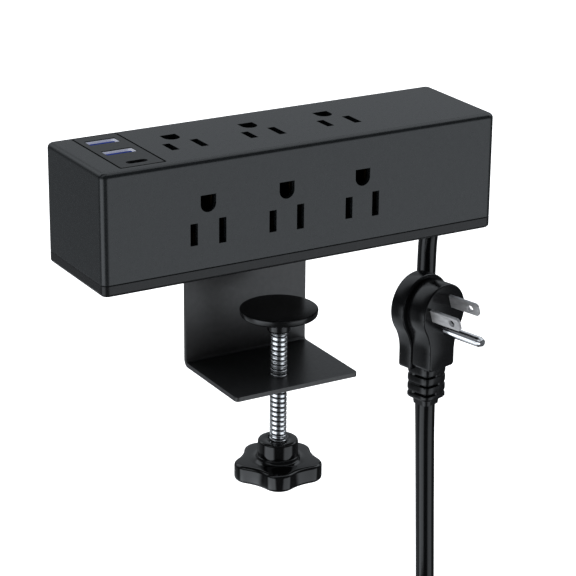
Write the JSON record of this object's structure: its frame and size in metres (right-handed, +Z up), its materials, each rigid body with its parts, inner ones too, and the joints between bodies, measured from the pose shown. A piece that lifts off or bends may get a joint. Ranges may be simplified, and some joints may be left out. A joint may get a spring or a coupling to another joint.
{
  "type": "desk power strip",
  "caption": "Desk-edge power strip with front and top outlets, a USB module, a screw clamp bracket and a corded flat plug.",
  "frame": {"origin": "on the underside of the body, which seats on the desk, at the middle of the body's length and depth", "axes": "+X along the body, away from the USB module; -Y is the side of the front outlets; +Z is up"},
  "size_m": [0.1958, 0.1223, 0.3123],
  "materials": {
    "body_black": "fine texture",
    "faceplate_black": "satin",
    "inner_plastic": "satin",
    "contact_brass": "rolled",
    "fastener_steel": "black zinc",
    "nut_steel": "zinc",
    "port_steel": "bright",
    "tongue_blue": "satin",
    "tongue_black": "satin",
    "board_green": "solder mask",
    "transformer_yellow": "tape",
    "capacitor_blue": "sleeve",
    "bracket_black": "powder coat",
    "bush_black": "powder coat",
    "screw_chrome": "polished",
    "pad_black": "satin",
    "knob_black": "polished",
    "boot_black": "satin",
    "cord_black": "satin",
    "tie_black": "woven",
    "plug_black": "semi gloss",
    "blade_nickel": "bright"
  },
  "bodies": {
    "strip": {"upper_housing": "body_black", "bottom_cover": "body_black", "cover_screws": "fastener_steel", "front_socket_block": "inner_plastic", "top_socket_block": "inner_plastic", "front_line_bar": "contact_brass", "front_neutral_bar": "contact_brass", "front_ground_bar": "contact_brass", "top_line_bar": "contact_brass", "top_neutral_bar": "contact_brass", "top_ground_bar": "contact_brass", "usb_faceplate": "faceplate_black", "usb_a_shells": "port_steel", "usb_a_tongues": "tongue_blue", "usb_c_shell": "port_steel", "usb_c_tongue": "tongue_black", "usb_board": "board_green", "board_screws": "fastener_steel", "usb_transformer": "transformer_yellow", "usb_capacitor": "capacitor_blue", "clamp_bracket": "bracket_black", "bracket_screws": "fastener_steel", "bracket_nuts": "nut_steel", "threaded_bush": "bush_black", "cord_boot": "boot_black", "cord_clamp": "inner_plastic", "cord_drop": "cord_black", "cord_coil": "cord_black", "cord_rise": "cord_black", "cord_ties": "tie_black", "plug_body": "plug_black", "plug_face": "plug_black", "plug_blades": "blade_nickel", "plug_ground_pin": "blade_nickel"},
    "pad": {"pressure_pad": "pad_black"},
    "screw": {"clamp_screw": "screw_chrome", "star_knob": "knob_black"}
  },
  "joints": [
    {"name": "clamp_travel", "type": "slide", "parent": "strip", "child": "pad", "axis": [0, 0, 1], "range_m": [-0.0177, 0.0222]},
    {"name": "knob_turn", "type": "hinge", "parent": "pad", "child": "screw", "pos_m": [-0.0063, -0.0146, -0.06], "axis": [0, 0, 1], "range_deg": [-3805.7, 3034.3]}
  ],
  "couplings": [
    {"joint": "knob_turn", "follows": "clamp_travel", "rad_per_m": -2992}
  ]
}
